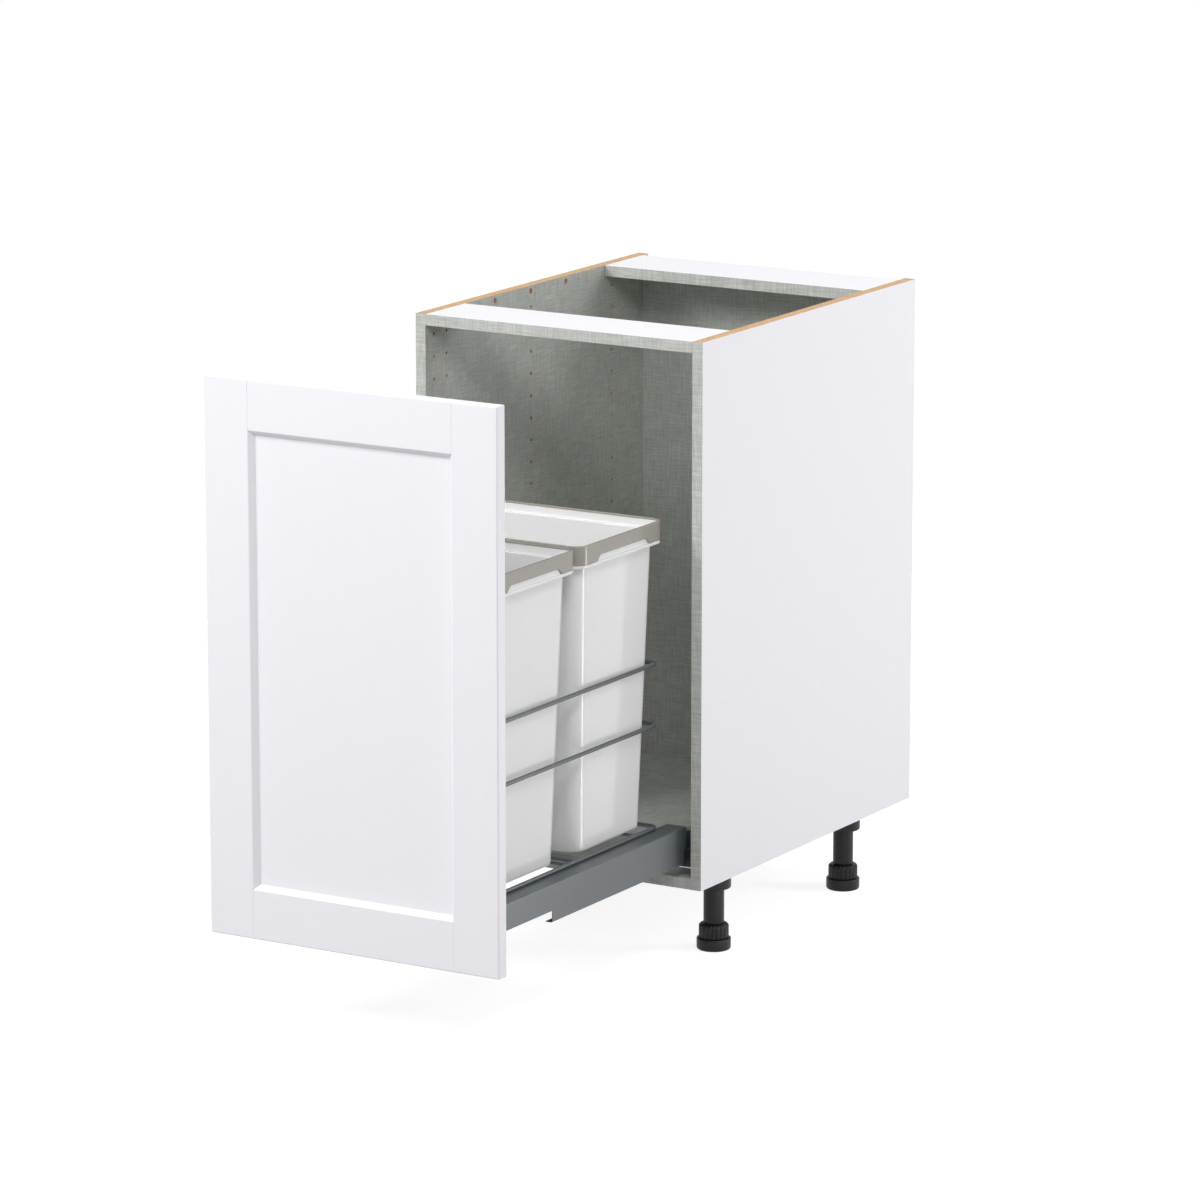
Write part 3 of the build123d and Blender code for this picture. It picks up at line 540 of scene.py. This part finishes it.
# Side profiles and front brackets. Both are folded from steel sheet and powder coated grey: the
# profiles hide the runners, and the brackets stand behind the front and carry it.
# Powder coat, grey satin: a slight orange peel over the rolled sheet, whose long streaks still show
# through and break up its reflections.
PEEL = 2.2 * MM
STREAK = 2.5 * MM
STREAK_RUN = 90.0 * MM
grey_coat, tree, shader = start_finish("steel_powder_coated_grey_satin", {"Specular IOR Level": 0.6})
place = add(tree, "TexCoord", {}, {})
peel = add(tree, "TexNoise", {}, {"Vector": place.outputs["Object"], "Scale": 1 / PEEL, "Detail": 2.0})
drawn_out = add(tree, "VectorMath", {"operation": "MULTIPLY"}, {
    0: place.outputs["Object"], 1: (1 / STREAK, 1 / STREAK_RUN, 1 / STREAK)})
streaks = add(tree, "TexNoise", {}, {"Vector": drawn_out.outputs["Vector"], "Scale": 1.0, "Detail": 3.0})
coat_grey = add(tree, "Mix", {"data_type": "RGBA"}, {
    BY: streaks.outputs["Fac"], FROM: linear("#494f53"), TO: linear("#545a5e")})
coat_rough = add(tree, "MapRange", {}, {"Value": streaks.outputs["Fac"], "To Min": 0.3, "To Max": 0.44})
orange = add(tree, "Bump", {}, {"Height": peel.outputs["Fac"], "Strength": 0.12, "Distance": 0.05 * MM})
tree.links.new(coat_grey.outputs[MIXED], shader.inputs["Base Color"])
tree.links.new(coat_rough.outputs["Result"], shader.inputs["Roughness"])
tree.links.new(orange.outputs["Normal"], shader.inputs["Normal"])
for side in ("left", "right"):
    for name in ("side_profile", "front_bracket"):
        soften(coat_node(f"{name}_{side}", grey_coat), FOLD_EDGE)

# Wire frame. Three round wires bent to a U keep the bins in place, one on the profiles and two as a
# gallery above. Straight wires and a flat strip join the lowest, and two rods along it carry the bins.
# All are steel, welded and powder coated.
WIRE_STEPS = 20
WIRE_BEND = 10.0 * MM
BEND_STEPS = 10
BEAD_R = 1.5 * MM
BEAD_L = 16.0 * MM
BEAD_POINTS = 25
BEAD_OFF = 0.75  # share of the wire's radius, above and below its middle
BEAD_BLUNT = 0.3
BEAD_WAVE = 0.18
BEAD_RIPPLE = 1.7
UP = Vector((0, 0, 1))


def join_capped(bm, rings):
    """Faces between each ring of points and the next, and one over each end."""
    join_rings(bm, rings)
    bm.faces.new(rings[0])
    bm.faces.new(rings[-1])


def add_wire(bm, path, radii):
    """A round wire along a level path, with a radius at each point and closed ends."""
    rings = []
    for i, (spot, radius) in enumerate(zip(path, radii)):
        ahead = (path[min(i + 1, len(path) - 1)] - path[max(i - 1, 0)]).normalized()
        beside = ahead.cross(UP)
        rings.append([bm.verts.new(spot + (beside * math.cos(angle) + UP * math.sin(angle)) * radius)
                      for angle in once_round(WIRE_STEPS)])
    join_capped(bm, rings)


# Two rippled weld beads, above and below, hold each end of a wire to its bracket.
bead_steps = [Vector((0, BEAD_L * k / (BEAD_POINTS - 1), 0)) for k in range(BEAD_POINTS)]
bead_radii = [BEAD_R * (math.sin(math.pi * (k + 0.5) / BEAD_POINTS) ** BEAD_BLUNT
                        - BEAD_WAVE * math.sin(BEAD_RIPPLE * k) ** 2) for k in range(BEAD_POINTS)]
welds = bmesh.new()
for name in ("base_wire", "gallery_wire_lower", "gallery_wire_upper"):
    wire_r, level = half(name, Z), middle(name, Z)
    front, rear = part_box(name)[LOW][Y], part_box(name)[HIGH][Y] - wire_r
    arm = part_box(name)[HIGH][X] - wire_r
    path = eased([
        ((-arm, front, level), 0), ((-arm, rear, level), WIRE_BEND),
        ((arm, rear, level), WIRE_BEND), ((arm, front, level), 0)], closed=False, steps=BEND_STEPS)
    bm = bmesh.new()
    add_wire(bm, path, [wire_r] * len(path))
    piece = make(f"{name}_bent", bm, grey_coat)
    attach(piece, "pullout")
    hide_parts(name)
    for side in (-1, 1):
        for drop in (-1, 1):
            start = Vector((
                side * (arm + wire_r - BEAD_R / 2), front + BEAD_L / 3, level + drop * BEAD_OFF * wire_r))
            add_wire(welds, [start + step for step in bead_steps], bead_radii)

BIN_ROWS = ("rear", "front")
CROSS_R = 2.5 * MM
CROSS_CARRY = 46.0 * MM  # from the middle of the rear bin
CROSS_STOP = 94.5 * MM  # from the middle of the front bin
WELD_RISE = 1.0 * MM
WELD_RUN = 4.0 * MM
middles = {row: middle(f"bin_{row}", Y) for row in BIN_ROWS}
last_y = middles["front"] - CROSS_STOP
base_r, base_z = half("base_wire", Z), middle("base_wire", Z)
base_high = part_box("base_wire")[HIGH]
reach = base_high[X] - base_r
half_wire = [(reach - inward, CROSS_R + rise) for inward, rise in (
    (0, WELD_RISE), (base_r, WELD_RISE), (base_r + WELD_RUN / 3, WELD_RISE / 3), (base_r + WELD_RUN, 0))]
whole_wire = [(-x, r) for x, r in half_wire] + half_wire[::-1]
bm = bmesh.new()
for y in (middles["rear"] + CROSS_CARRY, middles["front"] + CROSS_STOP, last_y):
    add_wire(bm, [Vector((x, y, base_z)) for x, r in whole_wire], [r for x, r in whole_wire])

ROD_X = 70.0 * MM
ROD_R = 2.0 * MM
ROD_RISE = 0.3 * MM
for x in (-ROD_X, ROD_X):
    ends = [Vector((x, y, base_z + ROD_RISE)) for y in (last_y, base_high[Y] - base_r)]
    add_wire(bm, ends, [ROD_R, ROD_R])

STRIP_OFF = 104.5 * MM  # from the middle of the rear bin
STRIP_W = 19.0 * MM
STRIP_EDGE = 0.8 * MM


def outline(half_x, half_y, corner, steps):
    """A rounded rectangle about the origin."""
    spots = ((half_x, -half_y), (half_x, half_y), (-half_x, half_y), (-half_x, -half_y))
    return eased([(spot, corner) for spot in spots], steps=steps)


strip_y = middles["rear"] - STRIP_OFF
strip = outline(STRIP_W / 2, CROSS_R, STRIP_EDGE, ARC_STEPS)
join_capped(bm, [
    [bm.verts.new((x, strip_y + across, base_z + up)) for across, up in strip] for x in (-reach, reach)])
piece = make("cross_wires_straight", bm, grey_coat)
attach(piece, "pullout")
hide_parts("cross_wires")
piece = make("frame_welds", welds, grey_coat)
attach(piece, "pullout")

# Front. A five-piece front of two stiles, two rails and a thin centre panel in their grooves, with a
# sloped sticking round the panel. The members are glued, so a hairline shows at each joint.
# Paint, sprayed matt white on a smooth primed face: even, with a barely rolled surface.
SPRAY = 3.0 * MM
MEMBER_EDGE = 0.8 * MM
matt_paint, tree, shader = start_finish("paint_white_matt_sprayed", {"Base Color": linear("#efeef3")})
place = add(tree, "TexCoord", {}, {})
mist = add(tree, "TexNoise", {}, {"Vector": place.outputs["Object"], "Scale": 1 / SPRAY, "Detail": 3.0})
matt = add(tree, "MapRange", {}, {"Value": mist.outputs["Fac"], "To Min": 0.48, "To Max": 0.6})
barely = add(tree, "Bump", {}, {"Height": mist.outputs["Fac"], "Strength": 0.06, "Distance": 0.05 * MM})
tree.links.new(matt.outputs["Result"], shader.inputs["Roughness"])
tree.links.new(barely.outputs["Normal"], shader.inputs["Normal"])
for name in ("stile_left", "stile_right", "rail_top", "rail_bottom", "panel"):
    soften(coat_node(f"door_{name}", matt_paint), MEMBER_EDGE)

# Bins. Two thin-walled buckets moulded in white polypropylene, tapered so that they stack. Near the
# mouth the wall steps out to a collar, and a skirt below it ends in the bead that the bag ring sits on.
# Polypropylene, moulded and polished: pale, a little glossy, with faint flow clouds.
BIN_CLOUD = 70.0 * MM
BIN_GRAIN = 1.8 * MM  # the real 0.2 mm is too fine to show
BIN_SCATTER = 3.0 * MM
white_plastic, tree, shader = start_finish("polypropylene_white_moulded", {
    "Subsurface Weight": 0.35, "Subsurface Radius": (1.0, 1.0, 1.0), "Subsurface Scale": BIN_SCATTER})
place = add(tree, "TexCoord", {}, {})
clouds = add(tree, "TexNoise", {}, {
    "Vector": place.outputs["Object"], "Scale": 1 / BIN_CLOUD, "Detail": 2.0})
skin = add(tree, "TexNoise", {}, {
    "Vector": place.outputs["Object"], "Scale": 1 / BIN_GRAIN, "Detail": 2.0})
bin_white = add(tree, "Mix", {"data_type": "RGBA"}, {
    BY: clouds.outputs["Fac"], FROM: linear("#e7e7e7"), TO: linear("#ececec")})
gloss = add(tree, "MapRange", {}, {"Value": skin.outputs["Fac"], "To Min": 0.06, "To Max": 0.11})
polish = add(tree, "Bump", {}, {"Height": skin.outputs["Fac"], "Strength": 0.015, "Distance": 0.05 * MM})
tree.links.new(bin_white.outputs[MIXED], shader.inputs["Base Color"])
tree.links.new(gloss.outputs["Result"], shader.inputs["Roughness"])
tree.links.new(polish.outputs["Normal"], shader.inputs["Normal"])

BIN_WALL = 1.6 * MM
BIN_FOOT = 5.0 * MM
BIN_UNDER = 15.0 * MM
BIN_INSET = 9.3 * MM
BIN_TAPER_X = 12.0 * MM
BIN_TAPER_Y = 14.5 * MM
BIN_SHOULDER = 12.0 * MM
BIN_COLLAR_IN = 2.6 * MM
BIN_BEAD_LOW = 28.1 * MM
BIN_BEAD_H = 4.6 * MM
BIN_CORNER = 20.0 * MM
BIN_EDGE = 1.0 * MM
BIN_LIP_EDGE = 0.5 * MM
BIN_BEAD_EDGE = 1.4 * MM
CORNER_STEPS = 12


def bin_section(low, rim, taper):
    """Inset from the bead, height and corner radius, from under the foot over the rim to the floor."""
    shoulder = rim - BIN_SHOULDER
    bead_low = rim - BIN_BEAD_LOW
    bead_top = bead_low + BIN_BEAD_H
    foot = BIN_INSET + taper
    skirt_in = BIN_COLLAR_IN + BIN_WALL
    ledge = shoulder + BIN_WALL
    bottom = low + BIN_WALL
    inner = BIN_CORNER - BIN_WALL
    return eased([
        ((foot + BIN_UNDER, low, BIN_CORNER - BIN_UNDER), 0),
        ((foot, low, BIN_CORNER), BIN_FOOT),
        ((BIN_INSET, shoulder, BIN_CORNER), BIN_EDGE),
        ((skirt_in, shoulder, BIN_CORNER - skirt_in), BIN_LIP_EDGE),
        ((skirt_in, bead_low, BIN_CORNER - skirt_in), BIN_LIP_EDGE),
        ((0, bead_low, BIN_CORNER), BIN_BEAD_EDGE),
        ((0, bead_top, BIN_CORNER), BIN_BEAD_EDGE),
        ((BIN_COLLAR_IN, bead_top, BIN_CORNER - BIN_COLLAR_IN), BIN_LIP_EDGE),
        ((BIN_COLLAR_IN, rim, BIN_CORNER - BIN_COLLAR_IN), BIN_LIP_EDGE),
        ((skirt_in, rim, BIN_CORNER - skirt_in), BIN_LIP_EDGE),
        ((skirt_in, ledge, BIN_CORNER - skirt_in), BIN_EDGE),
        ((BIN_INSET + BIN_WALL, ledge, inner), BIN_EDGE),
        ((foot + BIN_WALL, bottom, inner), BIN_FOOT),
        ((foot + BIN_WALL + BIN_UNDER, bottom, inner - BIN_UNDER), 0)], closed=False)


for row in BIN_ROWS:
    half_x, half_y = [half(f"bin_{row}", way) for way in (X, Y)]
    foot, rim = span(f"bin_{row}", Z)
    bm = bmesh.new()
    rings = []
    for (in_x, level, corner), (in_y, _, _) in zip(
            bin_section(foot, rim, BIN_TAPER_X), bin_section(foot, rim, BIN_TAPER_Y)):
        spots = outline(half_x - in_x, half_y - in_y, corner, CORNER_STEPS)
        rings.append([bm.verts.new((spot.x, middles[row] + spot.y, level)) for spot in spots])
    join_capped(bm, rings)
    piece = make(f"bin_{row}_moulded", bm, white_plastic)
    even_shading(piece)
    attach(piece, f"{row}_bin")
    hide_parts(f"bin_{row}")

# Bag rings. A moulded taupe ring over each bin's rim, which holds the bag. Its top band is narrow, and
# its skirt is raised along the middle of each side so that fingers can lift it.
# ABS, moulded satin: warm grey with a soft sheen along its rounded top edge.
RING_GRAIN = 1.2 * MM  # the real 0.2 mm is too fine to show
taupe_plastic, tree, shader = start_finish("abs_taupe_moulded_satin", {"Specular IOR Level": 0.5})
place = add(tree, "TexCoord", {}, {})
fine = add(tree, "TexNoise", {}, {
    "Vector": place.outputs["Object"], "Scale": 1 / RING_GRAIN, "Detail": 2.0})
taupe = add(tree, "Mix", {"data_type": "RGBA"}, {
    BY: fine.outputs["Fac"], FROM: linear("#98948b"), TO: linear("#a39f96")})
soft = add(tree, "MapRange", {}, {"Value": fine.outputs["Fac"], "To Min": 0.1, "To Max": 0.17})
grained = add(tree, "Bump", {}, {"Height": fine.outputs["Fac"], "Strength": 0.03, "Distance": 0.05 * MM})
tree.links.new(taupe.outputs[MIXED], shader.inputs["Base Color"])
tree.links.new(soft.outputs["Result"], shader.inputs["Roughness"])
tree.links.new(grained.outputs["Normal"], shader.inputs["Normal"])

RING_CORNER = 20.0 * MM
RING_T = 2.2 * MM
RING_TOP_T = 2.5 * MM
RING_TOP_W = 4.4 * MM
RING_ROUND = 1.0 * MM
RING_EASE = 0.4 * MM
RING_NOTCH = 8.4 * MM
RING_TAB = 40.0 * MM
RING_NOTCH_SLOPE = 12.0 * MM
SLOPE_STEPS = 8


def ring_path(half_x, half_y):
    """Point, outward direction and lift of the skirt, all round the ring's outer face."""
    slope = [k / SLOPE_STEPS for k in range(SLOPE_STEPS + 1)]
    path = []
    sides = (((1, 0), (0, 1), half_x, half_y), ((0, 1), (-1, 0), half_y, half_x),
             ((-1, 0), (0, -1), half_x, half_y), ((0, -1), (1, 0), half_y, half_x))
    for outward, onward, depth, run in sides:
        outward, onward = Vector(outward), Vector(onward)
        lifts = [(run - RING_TAB - RING_NOTCH_SLOPE * part, RING_NOTCH * part * part * (3 - 2 * part))
                 for part in slope]
        for mark, lift in [(-mark, lift) for mark, lift in lifts] + lifts[::-1]:
            path.append((outward * depth + onward * mark, outward, lift))
        centre = outward * (depth - RING_CORNER) + onward * (run - RING_CORNER)
        for k in range(CORNER_STEPS + 1):
            turn = math.pi / 2 * k / CORNER_STEPS
            away = outward * math.cos(turn) + onward * math.sin(turn)
            path.append((centre + away * RING_CORNER, away, 0.0))
    return path


for row in BIN_ROWS:
    foot, top = span(f"bag_ring_{row}", Z)
    bm = bmesh.new()
    rings = []
    for spot, outward, lift in ring_path(half(f"bag_ring_{row}", X), half(f"bag_ring_{row}", Y)):
        skirt = foot + lift
        section = eased([
            ((0, skirt), RING_EASE), ((0, top), RING_ROUND), ((RING_TOP_W, top), RING_EASE),
            ((RING_TOP_W, top - RING_TOP_T), RING_EASE), ((RING_T, top - RING_TOP_T), 0),
            ((RING_T, skirt), RING_EASE)])
        rings.append([])
        for inward, level in section:
            flat = spot - outward * inward
            rings[-1].append(bm.verts.new((flat.x, middles[row] + flat.y, level)))
    join_rings(bm, rings + rings[:1])
    piece = make(f"bag_ring_{row}_moulded", bm, taupe_plastic)
    even_shading(piece)
    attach(piece, f"{row}_ring")
    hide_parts(f"bag_ring_{row}")

# Studio. A plain pale floor under a white surround, soft lights high at the front left, the front right
# and the rear and a tall one at the right, and a long lens from the front right, a little above the case.
FLOOR_HALF = 12.0
FLOOR_GLOW = 0.8
AMBIENT = 0.3
WHITE = linear("#ffffff")


def looked_at(tree):
    """1 for a ray that looks at the surround, straight, by gloss or through glass, and otherwise 0."""
    rays = add(tree, "LightPath", {}, {})
    shown = rays.outputs["Is Camera Ray"]
    for kind in ("Is Glossy Ray", "Is Transmission Ray"):
        shown = add(tree, "Math", {"operation": "MAXIMUM"}, {
            0: shown, 1: rays.outputs[kind]}).outputs["Value"]
    return shown


pale_floor, tree, shader = start_finish("floor_pale_matt", {
    "Base Color": linear("#b6b6b6"), "Roughness": 0.9, "Emission Color": WHITE})
glow = add(tree, "Math", {"operation": "MULTIPLY"}, {0: looked_at(tree), 1: FLOOR_GLOW})
tree.links.new(glow.outputs["Value"], shader.inputs["Emission Strength"])
bm = bmesh.new()
bmesh.ops.create_grid(bm, x_segments=1, y_segments=1, size=FLOOR_HALF)
floor = make("floor", bm, pale_floor)

world = bpy.data.worlds.new("white_surround")
bpy.context.scene.world = world
world.use_nodes = True
tree = world.node_tree
tree.nodes.clear()
level = add(tree, "MapRange", {}, {"Value": looked_at(tree), "To Min": AMBIENT, "To Max": 1.0})
surround = add(tree, "Background", {}, {"Color": WHITE, "Strength": level.outputs["Result"]})
add(tree, "OutputWorld", {}, {"Surface": surround.outputs["Background"]})


def hang_lamp(name, spot, aim, size, power):
    """A rectangular lamp at a spot, turned to its aim."""
    lamp = bpy.data.lights.new(name, "AREA")
    lamp.shape = "RECTANGLE"
    lamp.size, lamp.size_y = size
    lamp.energy = power
    light = bpy.data.objects.new(name, lamp)
    light.location = spot
    light.rotation_euler = (Vector(aim) - Vector(spot)).to_track_quat("-Z", "Y").to_euler()
    bpy.context.collection.objects.link(light)
    return light


CASE_MIDDLE = (0.0, 0.0, 0.45)
for name, spot, size, power in (
        ("left_softbox", (-2.0, -2.8, 3.0), (1.6, 1.6), 111.0),
        ("front_softbox", (1.8, -2.4, 3.0), (1.0, 1.0), 40.0),
        ("right_softbox", (2.5, 1.4, 1.1), (0.8, 2.0), 34.0),
        ("rear_softbox", (0.2, 1.9, 3.2), (1.4, 1.0), 23.0)):
    hang_lamp(name, spot, CASE_MIDDLE, size, power)

# A low strip beside the case, seen only as the bright line down the bins' and rings' rounded corners.
GLINT_SPOT = (0.624, -0.071, 0.28)
GLINT_AIM = (0.157, -0.25, 0.28)
GLINT_SIZE = (0.115, 0.52)
GLINT_POWER = 1.3
glint = hang_lamp("low_strip", GLINT_SPOT, GLINT_AIM, GLINT_SIZE, GLINT_POWER)
glint.visible_camera = False
glint.visible_diffuse = False

LENS = 183.9
SENSOR = 36.0
VIEW_SPOT = (4.27201, -7.06923, 2.31280)
VIEW_DOWN = 12.453
VIEW_TURN = 30.894
camera = bpy.data.cameras.new("camera")
camera.lens = LENS
camera.sensor_width = SENSOR
viewer = bpy.data.objects.new("camera", camera)
viewer.location = VIEW_SPOT
viewer.rotation_euler = (math.radians(90 - VIEW_DOWN), 0.0, math.radians(VIEW_TURN))
bpy.context.collection.objects.link(viewer)
bpy.context.scene.camera = viewer
bpy.context.scene.view_settings.view_transform = "Standard"
